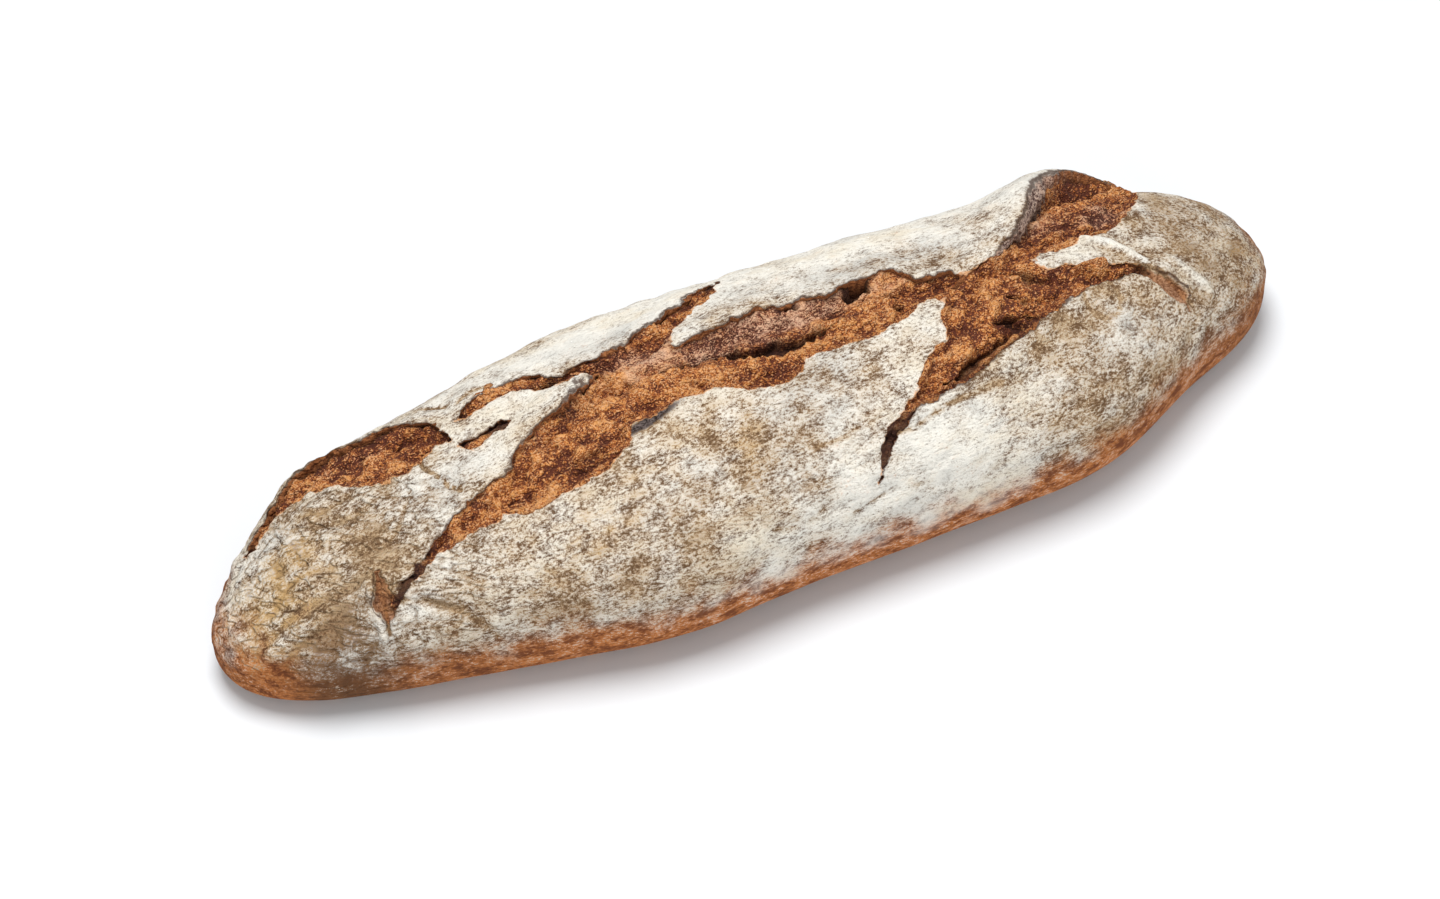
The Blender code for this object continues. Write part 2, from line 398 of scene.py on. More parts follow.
@dataclass
class Tears:
    """Every opening in the crust, and the pockets in the crumb below."""

    openings: dict[str, Opening] = field(default_factory=lambda: {
        "nose_tear": Opening(
            ((-189, 18.5, 1, 0.5), (-180, 24, 3, 1), (-170, 29, 4.5, 2), (-160, 31, 8, 3),
             (-149, 27.5, 9.5, 3), (-138, 22.5, 10.5, 3), (-128, 20.5, 11, 3), (-120, 21, 6.5, 2),
             (-112.5, 14, 0.8, 1)),
            depth=4.5, swell=2, overhang=0.8,
        ),
        "shoulder_nick": Opening(
            ((-110, 10, 0.8, 0.5), (-105, 8, 2.4, 1), (-98, 9.5, 1.2, 1), (-90, 10.5, 0.4, 0.5)),
            depth=3, reach=4, overhang=0.5,
        ),
        "back_tear": Opening(
            ((-106, 21, 1, 1), (-98, 24.5, 4, 2), (-88, 24.5, 2.8, 2), (-80, 24, 2.5, 2), (-72, 18.5, 3, 3),
             (-62, 17, 3.5, 3), (-52, 15.5, 5, 3.5), (-42, 16, 6.5, 3.5), (-33, 19, 6.8, 3.5),
             (-25, 23.5, 4.2, 3.5), (-16, 29, 3.5, 3), (-8, 33, 3, 2.5), (0, 38, 1, 1), (3, 39, 0.4, 0.5)),
            depth=5, swell=1, reach=7, overhang=1.2,
        ),
        "long_tear": Opening(
            ((-152, -30, 0.8, 0.5), (-140, -25, 1.2, 1.5), (-128, -20.5, 2.8, 1.5), (-118, -18.5, 3.8, 2),
             (-108, -17, 6, 2), (-98, -16.5, 8, 2.5), (-90, -14.5, 11, 2.5), (-80, -11, 14, 3),
             (-70, -8, 14.5, 4), (-60, -1.5, 12.5, 6), (-50, -0.5, 11.5, 2), (-38, 1.5, 11.5, 2),
             (-28, 0.5, 11, 2), (-18, 0, 12.5, 2.5), (-8, -2, 15, 3), (-2, -2.5, 16.5, 3), (5, 0, 14, 3),
             (14, 0, 12, 3), (26, -1, 11.5, 3), (38, -1.5, 11.5, 3.5), (50, 0, 10.5, 3.5),
             (58, -0.5, 7, 2.5), (66, -1, 5, 2), (76, -1, 3.2, 2)),
            depth=6, swell=3, reach=8, overhang=1.0,
        ),
        "near_tear": Opening(
            ((20, -58, 0.3, 0), (25, -52, 0.6, 0.5), (30, -47, 0.9, 0.5), (38, -42.5, 1.7, 1),
             (47, -38.5, 3.6, 1.5), (56, -34, 7, 2), (66, -30.5, 8.5, 2), (74, -26, 11, 2.5),
             (84, -17, 16.5, 2.5), (96, -14, 14.5, 3), (106, -15.5, 10, 3), (114, -15.5, 7.5, 3),
             (124, -14.5, 5.8, 2.5), (134, -15, 4.8, 2), (142, -16.5, 3, 1.5), (148, -17.5, 0.8, 1)),
            depth=6, swell=3, side=Side.FRONT, reach=7, overhang=0.6,
        ),
        "flap_tear": Opening(
            ((97, 0, 2, 3), (106, 4, 5.5, 5), (116, 8.5, 9, 7), (126, 13.5, 13, 9), (137, 19, 16.5, 11),
             (148, 23, 15, 10), (158, 27, 10, 6), (166, 29, 4.5, 2)),
            depth=5, swell=2, side=Side.BACK_LEFT, reach=15, overhang=2.0,
        ),
        "end_scar": Opening(
            ((146, -17, 1, 0.5), (151, -20, 3, 0.8), (156, -24.5, 3.8, 0.8), (159, -29, 2.5, 0.5),
             (160, -33, 0.5, 0)),
            depth=1.6, side=Side.RIGHT, reach=5, overhang=0.2, holds_crumb=0.0,
        ),
        "nose_fold": Opening(
            ((-154, -19, 0.8, 1), (-154.5, -24, 2.8, 1.5), (-156, -30, 2.4, 1.5), (-156, -36, 0.8, 1)),
            depth=1.6, side=Side.LEFT, reach=6, overhang=0.3, holds_crumb=0.0,
        ),
    })
    pockets: dict[str, Opening] = field(default_factory=lambda: {
        "inner_fold": Opening(
            ((-48, 6, 0.6, 0), (-30, 5, 1.4, 1), (-13, 4.5, 2, 1.5), (-6, 0, 4, 2), (0, -1.5, 4.2, 2),
             (8, -2, 3.8, 2), (16, -2, 3, 1.5), (24, -2.5, 1.8, 1), (30, -2.5, 0.6, 0)),
            depth=7, reach=7, overhang=2,
        ),
        "gas_pocket": Opening(((39, 8.5, 2, 0), (45, 9, 3, 0)), depth=6, overhang=1),
        "near_slit": Opening(
            ((84, -21.5, 1, 0), (90, -22, 2, 0), (96, -22.5, 0.8, 0)), depth=5, overhang=1),
        "far_pocket": Opening(((134, -18, 1.6, 0), (141, -17, 2, 0)), depth=5, overhang=1),
        "back_pocket": Opening(((-78, 19, 1.2, 0), (-70, 18, 2, 0), (-66, 19, 1, 0)), depth=5, overhang=1),
        "curl_hollow": Opening(((-65, 8, 1, 0), (-60, 11, 2.2, 0), (-55, 12, 1, 0)), depth=5, overhang=1),
        "crust_curl": Opening(
            ((11, 9, 1, 0.5), (16, 10.5, 1.8, 1), (20, 9, 0.8, 0.5)), depth=3, overhang=1),
        "crater": Opening(
            ((-84, -16, 2, 0), (-76, -18, 3.5, 0), (-68, -16, 2.5, 0)), depth=1.5, overhang=0.3),
        "near_dent": Opening(
            ((56, -38, 0.8, 0), (64, -36, 1.8, 0), (74, -33, 2.4, 0), (88, -29, 2, 0), (100, -25, 1, 0)),
            depth=4, side=Side.FRONT, overhang=0.8,
        ),
        "mid_pocket": Opening(((94, -14, 1.4, 0), (98, -17, 1.6, 0)), depth=3, overhang=0.5),
        "far_curl": Opening(
            ((100, -3, 1, 0), (107, -9, 1.6, 0), (112, -10, 1, 0)), depth=3.5, overhang=0.8),
        "small_pore": Opening(((53, -3, 1.4, 0), (55, -3, 1.2, 0)), depth=4, overhang=0.5),
    })


@dataclass
class Torn:
    """How the openings lie at each point: lengths in metres, the rest as shares."""

    edge: Array
    raised: Array
    facing: Array
    width: Array
    depth: Array
    swell: Array
    overhang: Array
    holds_crumb: Array
    across: Array

    def on_flap(self) -> Array:
        """How much each point belongs to crust that lifts high and turns back on itself."""
        return smooth_step(*FLAP_LIFT, self.raised) * smooth_step(0, FLAP_TURN, -self.across[:, 0])


class Reader:
    """Reads a set of openings at points of the untorn loaf."""

    ragged = ((9, 1.7), (4, 1.3), (1.9, 0.7), (1.1, 0.3))
    melting = 6 * MM
    blending = 1.5 * MM
    calm_from, calm_to = 4 * MM, 12 * MM
    facing_along, least_facing = 0.25, 0.12

    def __init__(self, form: LoafForm, openings: dict[str, Opening]) -> None:
        """Keep the form and the openings that are read."""
        self.form = form
        self.openings = openings

    def distance(self, points: Array) -> Array:
        """Measure how far points are from the openings.

        Args:
            points: Points of the untorn loaf.

        Returns:
            The distance past the nearest opening's plain edge, negative inside it.
        """
        flat = self.form.unrolled(points)
        distances = [opening.measure(flat, self.form).distance for opening in self.openings.values()]
        return np.min(distances, axis=0)

    def read(self, points: Array) -> Torn:
        """Read the openings, where several are near each other as one that joins them.

        Args:
            points: Points of the untorn loaf.

        Returns:
            What the openings are like at the points.
        """
        flat = self.form.unrolled(points)
        ragged = waves(points, self.ragged) * MM
        count = len(points)
        edge, nearest = np.full(count, np.inf), np.full(count, np.inf)
        raised = np.zeros(count)
        readings = []
        for opening in self.openings.values():
            near = opening.measure(flat, self.form)
            calm = smooth_step(self.calm_from, self.calm_to, np.abs(near.distance))
            distance = near.distance + ragged * (1 - calm)
            facing = self.facing_along + (1 - self.facing_along) * (near.across @ opening.side.direction)
            facing = np.clip(facing, self.least_facing, 1)
            fading = np.exp(-((np.maximum(distance, 0) / (opening.reach * MM)) ** 2))
            raised = np.maximum(raised, near.lip * facing * fading)
            melt = np.clip(self.melting - np.abs(np.minimum(edge, 1) - distance), 0, None) / self.melting
            edge = np.minimum(edge, distance) - melt**2 * self.melting / 4
            nearest = np.minimum(nearest, distance)
            readings.append((distance, facing, near, opening))
        total = np.zeros(count)
        names = ("facing", "width", "depth", "swell", "overhang", "holds_crumb")
        mean = {name: np.zeros(count) for name in names}
        across = np.zeros((count, 2))
        for distance, facing, near, opening in readings:
            weight = np.exp(-(distance - nearest) / self.blending)
            total += weight
            mean["facing"] += weight * facing
            mean["width"] += weight * near.width
            mean["depth"] += weight * opening.depth * MM
            mean["swell"] += weight * opening.swell * MM
            mean["overhang"] += weight * opening.overhang * MM
            mean["holds_crumb"] += weight * opening.holds_crumb
            across += weight[:, None] * near.across
        mean = {name: value / total for name, value in mean.items()}
        return Torn(edge=edge, raised=raised, across=across / total[:, None], **mean)


@dataclass(frozen=True)
class Grid:
    """A closed grid of unit directions from the loaf's middle, with X along the loaf.

    Its cells are halved once for each band, which is the least and greatest distance past an
    opening's edge, in metres.
    """

    rings: int
    ring_points: int
    crown_share: float
    bands: tuple

    def laid_on(self, form: LoafForm, reader: Reader) -> Skin:
        """Lay the grid on the loaf, finest where the crust is torn.

        Args:
            form: The untorn loaf.
            reader: The openings.

        Returns:
            The untorn points.
        """
        sphere = self.directions()
        for low, high in self.bands:
            self.refine(sphere, form, reader, low, high)
        return Skin(sphere, form)

    def directions(self) -> bmesh.types.BMesh:
        """Make a sphere of directions, whose poles are the loaf's tips, denser on the upper side.

        Returns:
            The sphere.
        """
        sphere = bmesh.new()
        bmesh.ops.create_uvsphere(
            sphere, u_segments=self.ring_points, v_segments=self.rings, radius=1
        )
        for vertex in sphere.verts:
            along, across, up = vertex.co.z, vertex.co.x, vertex.co.y
            turn = math.atan2(up, across)
            turn += self.crown_share * math.cos(turn)
            reach = math.hypot(across, up)
            vertex.co = (along, reach * math.cos(turn), reach * math.sin(turn))
        return sphere

    def refine(
        self, sphere: bmesh.types.BMesh, form: LoafForm, reader: Reader, low: float, high: float
    ) -> None:
        """Halve the cells of the upper side that lie near an opening's edge.

        Args:
            sphere: The directions, changed in place.
            form: The untorn loaf.
            reader: The openings.
            low: The least distance past an edge that is refined, in metres.
            high: The greatest distance.
        """
        directions = np.array([vertex.co for vertex in sphere.verts])
        distance = reader.distance(form.at(directions))
        wanted = (distance > low) & (distance < high) & (directions[:, 2] > 0)
        sphere.verts.index_update()
        edges = [
            edge for edge in sphere.edges if wanted[edge.verts[0].index] and wanted[edge.verts[1].index]
        ]
        bmesh.ops.subdivide_edges(sphere, edges=edges, cuts=1, use_grid_fill=True)
        for vertex in sphere.verts:
            vertex.co.normalize()


class Skin:
    """Untorn points of a grid, with the directions in which they can be moved.

    The upper side starts where the normals' upward share passes from upper_from to upper_to.
    """

    upper_from, upper_to = -0.1, 0.25
    least_across = 0.2

    def __init__(self, sphere: bmesh.types.BMesh, form: LoafForm) -> None:
        """Lay the grid on the loaf's form.

        Args:
            sphere: The directions. Its own points are moved onto the form.
            form: The untorn loaf.
        """
        self.mesh_data = sphere
        self.points = form.at(np.array([vertex.co for vertex in sphere.verts]))
        self.place(self.points)
        self.normals = np.array([vertex.normal for vertex in sphere.verts])
        along = np.array((1.0, 0.0, 0.0)) - self.normals[:, :1] * self.normals
        self.along = along / np.maximum(np.linalg.norm(along, axis=1), 1e-6)[:, None]
        self.around = np.cross(self.normals, self.along)
        self.upper = smooth_step(self.upper_from, self.upper_to, self.normals[:, 2])

    def place(self, points: Array) -> None:
        """Move the grid's vertices and turn its normals with them.

        Args:
            points: The new place of each vertex.
        """
        for vertex, point in zip(self.mesh_data.verts, points.tolist()):
            vertex.co = point
        self.mesh_data.normal_update()

    def sideways(self, across: Array) -> Array:
        """Unit vectors along the skin for vectors given on the unrolled crust."""
        vector = across[:, :1] * self.along + across[:, 1:] * self.around
        return vector / np.maximum(np.linalg.norm(vector, axis=1), self.least_across)[:, None]

    def lifting(self, upward: float) -> Array:
        """Unit vectors in which lifted crust rises: off the skin, and more or less upward."""
        lift = self.normals + (0, 0, upward)
        return lift / np.linalg.norm(lift, axis=1)[:, None]

    def plan(self) -> Array:
        """Where each point is as seen from above, in millimetres."""
        return self.points[:, :2] / MM

    def piece(self, name: str, points: Array, marks: dict[str, Array]) -> bpy.types.Object:
        """Make the grid an object in its final shape.

        Args:
            name: The object's name.
            points: The final place of each vertex.
            marks: Shares from 0 to 1 that the material reads, by name.

        Returns:
            The new object, in the scene.
        """
        self.place(points)
        bmesh.ops.triangulate(self.mesh_data, faces=self.mesh_data.faces[:])
        mesh = bpy.data.meshes.new(name)
        self.mesh_data.to_mesh(mesh)
        self.mesh_data.free()
        for mark, values in marks.items():
            layer = mesh.attributes.new(mark, "FLOAT", "POINT")
            layer.data.foreach_set("value", np.asarray(values, np.float32))
        mesh.shade_smooth()
        piece = bpy.data.objects.new(name, mesh)
        bpy.context.scene.collection.objects.link(piece)
        LOG.info("%s: %d triangles", name, len(mesh.polygons))
        return piece


def steps(places: Array, table: Sequence[tuple[float, float]]) -> Array:
    """Read straight steps through (place, value) pairs, level beyond their ends."""
    at, value = zip(*table)
    return np.interp(places, at, value)


def lines_over(creases: Sequence[Crease], flat: Array, form: LoafForm) -> tuple[Array, Array]:
    """Read fine lines on the crust.

    Args:
        creases: The lines.
        flat: Unrolled points.
        form: The untorn loaf.

    Returns:
        The height of the lines at the points, in metres, and how much flour they add.
    """
    height, flour = np.zeros(len(flat)), np.zeros(len(flat))
    for crease in creases:
        path = smooth_line(crease.stations, form, crease.parts)
        nearest = np.full(len(flat), np.inf)
        for start, end in zip(path[:-1], path[1:]):
            run = end - start
            share = np.clip((flat - start) @ run / (run @ run), 0, 1)
            nearest = np.minimum(nearest, np.hypot(*(flat - start - share[:, None] * run).T))
        fading = np.exp(-((nearest / (crease.width * MM)) ** 2))
        height += crease.height * MM * fading
        flour += crease.flour * fading
    return height, flour


@dataclass
class Crust:
    """The loaf's outer piece: the floured crust with its torn edges, its sides and its base.

    Inside an opening the crust's cut face drops from the torn edge, runs back under it, and
    leads to a well that the crumb fills. The tables of pairs are read across that face: each
    has a place, from 0 at the torn edge to 1 where the face's band ends, and the share there.
    """

    form: LoafForm
    tears: Tears
    grid: Grid = Grid(292, 168, 0.4, ((-5.0 * MM, 4.0 * MM), (-2.6 * MM, 1.6 * MM)))
    thickness: float = 1.3 * MM
    flap_thickness: float = 5.0 * MM
    least_thickness: float = 0.4
    band: float = 2.6 * MM
    least_band: float = 0.6 * MM
    band_of_width: float = 0.8
    flap_band: float = 10.0 * MM
    flap_slope: float = 0.7
    recess: float = 0.6 * MM
    well: float = 4.0 * MM
    hanging: tuple = ((0.75, 1), (1, 0.3), (1.25, 0))
    hanging_reach: float = 2.5 * MM
    slope: tuple = ((0, 0), (0.25, 0.27), (0.5, 0.56), (0.75, 0.85), (1, 0.4), (1.25, 0))
    undercut: tuple = ((0.5, 0), (0.75, 1), (1, 0.2), (1.25, 0))
    lifted: tuple = ((0.5, 1), (0.75, 0.8), (1, 0.1), (1.25, 0))
    cut: tuple = ((-0.2, 0), (0, 0.06), (0.12, 0.2), (0.25, 0.5), (0.5, 1))
    well_wall: tuple = ((0.5, 0), (0.75, 0.2), (1, 0.75), (1.25, 1))
    lift_upward: float = 1.5
    swells: Waves = ((60, 1.2), (22, 0.5))
    dents: Waves = ((15, 0.9), (7, 0.5))
    wrinkles: Waves = ((5, 0.5), (3, 0.3))
    wrinkle_stretch: tuple = (2.2, 1.0, 1.0)
    nose_from: float = -100 * MM
    nose_to: float = -135 * MM
    nose_turn: float = 32.0
    nose_wrinkling: float = 1.8
    creases: tuple = (
        Crease(((0, -42), (8, -43), (20, -41.5)), 0.6, -0.7, -0.6),
        Crease(((-20, -58), (-10, -59), (0, -57.5)), 0.6, -0.7, -0.6),
        Crease(((10, -60), (25, -59), (40, -60)), 0.6, -0.7, -0.6),
        Crease(((30, -47), (38, -47.5), (45, -46), (58, -44), (75, -43.5)), 0.7, -1.0, -0.9),
        Crease(((-200, -17), (-185, -15.5), (-170, -18), (-158, -18)), 1.5, -1.4, -0.5),
        Crease(((-198, -26), (-184, -24), (-168, -27)), 1.3, -1.1, -0.4),
        Crease(((-196, -34), (-184, -33), (-172, -37), (-162, -36)), 1.3, -1.0, -0.4),
        Crease(((-190, -9), (-178, -5), (-166, -9)), 1.2, -0.9, -0.4),
        Crease(((-150, -30), (-140, -36), (-130, -41)), 1.1, -0.9, -0.4),
        Crease(((-143, -33), (-132, -41), (-121, -48)), 1.0, -0.9, -0.4),
        Crease(((-160, -40), (-148, -45), (-136, -52)), 1.1, -0.9, -0.4),
        Crease(((-168, 16), (-160, 13), (-150, 14)), 0.9, -0.8, -0.4),
        Crease(((-166, 9), (-156, 5), (-146, 6)), 0.9, -0.8, -0.4),
        Crease(((-160, -1), (-150, -6), (-140, -4)), 0.9, -0.8, -0.4),
        Crease(((-148, -12), (-141, -8), (-133, 2)), 0.9, -0.8, -0.4),
        Crease(((130, 2), (138, -1), (144, -6), (149, -13)), 1.4, 1.5, 0.9),
        Crease(((-118, 36), (-113, 34), (-107, 30)), 0.8, -1.0, -1.0),
        Crease(((-104, 28), (-98, 31), (-92, 30)), 0.7, -0.6, -0.7),
        Crease(((160, -13), (166, -19), (172, -26)), 1.5, 1.2, 0.4),
        Crease(((144, -14), (151, -16.5), (157, -22), (161, -30)), 0.6, -1.0, -1.2),
        Crease(((-158, -18), (-158.5, -26), (-159, -34), (-157, -42)), 1.2, 1.3, 0.08),
        Crease(((-155.5, -19), (-155.5, -27), (-156.5, -36)), 0.5, -1.0, -1.2),
        Crease(((-8, 53), (1, 54), (10, 52)), 0.8, -1.0, -0.6),
        Crease(((-69, 9), (-65, 12.5), (-60, 14.5)), 1.2, 0.9, 0.5),
        Crease(((-125, 12), (-124.5, 7), (-121.5, 2), (-120, -3), (-116.5, -8)), 0.55, -1.4, -1.6),
        Crease(((118, -25), (120, -30), (125, -32), (130, -30), (132, -25), (130, -20), (125, -18),
                (120, -20), (118, -25)), 0.6, -0.5, -0.6),
    )
    rim_width: float = 0.8 * MM
    slit_shade_widths: tuple = (2.4 * MM, 1.2 * MM)
    flap_face: tuple = (60 * MM, 90 * MM)
    flour_on_wrinkles: float = 0.1
    flour_base: float = 0.375
    flour: tuple = patches(
        (50, -55, 34, 15, 0.6), (56, -14, 24, 12, 0.26), (18, -36, 20, 10, 0.1),
        (-60, 36, 60, 12, 0.46), (60, 34, 90, 16, 0.5), (-110, 2, 22, 9, 0.28),
        (-85, 14, 16, 8, 0.32), (-42, -44, 10, 7, 0.05), (-26, -61, 14, 6, 0.22),
        (-110, -44, 24, 12, -0.12), (-14, -52, 20, 8, -0.14), (110, -46, 40, 14, -0.16),
        (-172, -30, 22, 12, -0.34), (-172, 2, 30, 22, -0.16), (-200, 0, 16, 60, -0.12),
        (184, -8, 34, 50, -0.24), (132, -4, 24, 8, 0.12), (-50, -22, 22, 5, -0.14),
        (-192, 18, 16, 9, 0.4), (-138, -30, 20, 8, 0.15), (-162, -12, 12, 10, -0.2),
        (-20, -36, 12, 14, -0.25), (4, -58, 18, 8, 0.28), (58, -42, 26, 6, -0.2),
        (104, -31, 12, 6, -0.25), (142, -18, 16, 9, -0.28), (60, -10, 8, 6, -0.22),
        (-60, -58, 34, 7, -0.22), (-92, -50, 20, 6, -0.15), (-203, 4, 8, 14, 0.25),
        (-120, -6, 10, 10, 0.15), (110, -60, 30, 8, -0.3), (-56, -34, 34, 14, -0.12),
    )
    ochre: tuple = patches(
        (-192, -4, 24, 26, 0.7), (-154, -28, 5, 10, 0.6), (-84, -42, 30, 12, 0.45),
        (-48, -26, 20, 6, 0.4), (-20, -36, 14, 14, 0.4), (-172, 8, 18, 12, 0.35),
        (192, -8, 20, 30, 0.4), (130, -30, 24, 14, 0.2),
    )
    toast: tuple = patches(
        (-14, -50, 22, 9, 0.3), (-174, -34, 26, 12, 0.5), (124, -40, 24, 8, 0.3),
        (52, -51, 5, 3, 0.7), (186, -10, 24, 34, 0.4), (-146, -56, 40, 12, 0.5), (-190, -46, 30, 16, 0.3),
    )
    pitted: tuple = patches((-100, -36, 20, 9, 0.8), (-60, -50, 30, 10, 0.35), (100, -10, 30, 20, 0.3))
    slate: tuple = patches((-48, -13, 13, 2.2, 1.3, 10))

    def build(self) -> tuple[bpy.types.Object, Array]:
        """Make the crust.

        Returns:
            The object, and the middle of its box before it was centred.
        """
        reader = Reader(self.form, self.tears.openings)
        skin = self.grid.laid_on(self.form, reader)
        torn = reader.read(skin.points)

        is_flap = torn.on_flap()
        widest = self.band + (self.flap_band - self.band) * is_flap
        band = np.clip(self.band_of_width * torn.width, self.least_band, widest)
        narrow = band / widest
        inward = -torn.edge / band
        turned_up = smooth_step(0.2, 0.8, torn.facing)
        thick = self.thickness + (self.flap_thickness - self.thickness) * is_flap
        thick = thick * (self.least_thickness + (1 - self.least_thickness) * narrow)

        overhang = torn.overhang * turned_up * narrow
        outside = np.exp(-np.maximum(torn.edge, 0) / self.hanging_reach)
        shift = -overhang * outside * steps(inward, self.hanging)
        shift += band * (1 - self.flap_slope * is_flap) * torn.holds_crumb * steps(inward, self.slope)
        shift += self.recess * narrow * turned_up * steps(inward, self.undercut)

        kept_lift = torn.raised * steps(inward, self.lifted)
        bottom = torn.depth + self.well * narrow * torn.holds_crumb - thick
        drop = thick * steps(inward, self.cut) + bottom * steps(inward, self.well_wall)

        plain = 1 - smooth_step(0, 0.5, inward)
        along_loaf = waves(skin.points, self.wrinkles, self.wrinkle_stretch, seed=7.3)
        aslant = waves(turned(skin.points, self.nose_turn), self.wrinkles, self.wrinkle_stretch, seed=2.1)
        at_nose = smooth_step(self.nose_from, self.nose_to, skin.points[:, 0])
        wrinkle = along_loaf * (1 - at_nose) + self.nose_wrinkling * aslant * at_nose
        wrinkle += waves(skin.points, self.dents, seed=7.3)
        line, line_flour = lines_over(self.creases, self.form.unrolled(skin.points), self.form)
        relief = waves(skin.points, self.swells) * MM + (wrinkle * MM * plain + line) * skin.upper

        lift = skin.lifting(self.lift_upward)
        placed = (
            skin.points
            + skin.normals * (relief - drop * skin.upper)[:, None]
            + lift * (kept_lift * skin.upper)[:, None]
            + skin.sideways(torn.across) * (shift * skin.upper)[:, None]
        )
        middle = (placed.max(0) + placed.min(0)) / 2
        middle[2] = 0
        placed -= middle
        placed[:, 2] = np.maximum(placed[:, 2], 0)

        # Burnt edge and painted shadow: the rim mark darkens a thin line along the torn edges where the
        # crust lifts.
        rim = np.exp(-np.maximum(torn.edge, 0) / self.rim_width) * plain
        # Painted shade: the deep mark darkens the bottom of each well under the torn crust, and each narrow
        # slit.
        crust_slit_shade = smooth_step(0.05, 0.4, inward) * smooth_step(*self.slit_shade_widths, torn.width)
        plan = skin.plan()
        flour = self.flour_base + spread(self.flour, plan) + line_flour + self.flour_on_wrinkles * wrinkle
        marks = {
            "rim": rim * turned_up,
            "flush": rim * (1 - turned_up) * torn.holds_crumb,
            "cut": smooth_step(0.02, 0.3, inward) * torn.holds_crumb,
            "deep": np.maximum(smooth_step(0.55, 0.95, inward), crust_slit_shade) * torn.holds_crumb,
            "flap": is_flap * smooth_step(*self.flap_face, skin.points[:, 0]),
            "flour": flour,
            "ochre": spread(self.ochre, plan),
            "toast": spread(self.toast, plan),
            "slate": spread(self.slate, plan),
            "scar": smooth_step(0, 0.8, inward) * (1 - torn.holds_crumb),
            "pitted": spread(self.pitted, plan),
            "nose": at_nose,
        }
        return skin.piece("floured_crust", placed, marks), middle


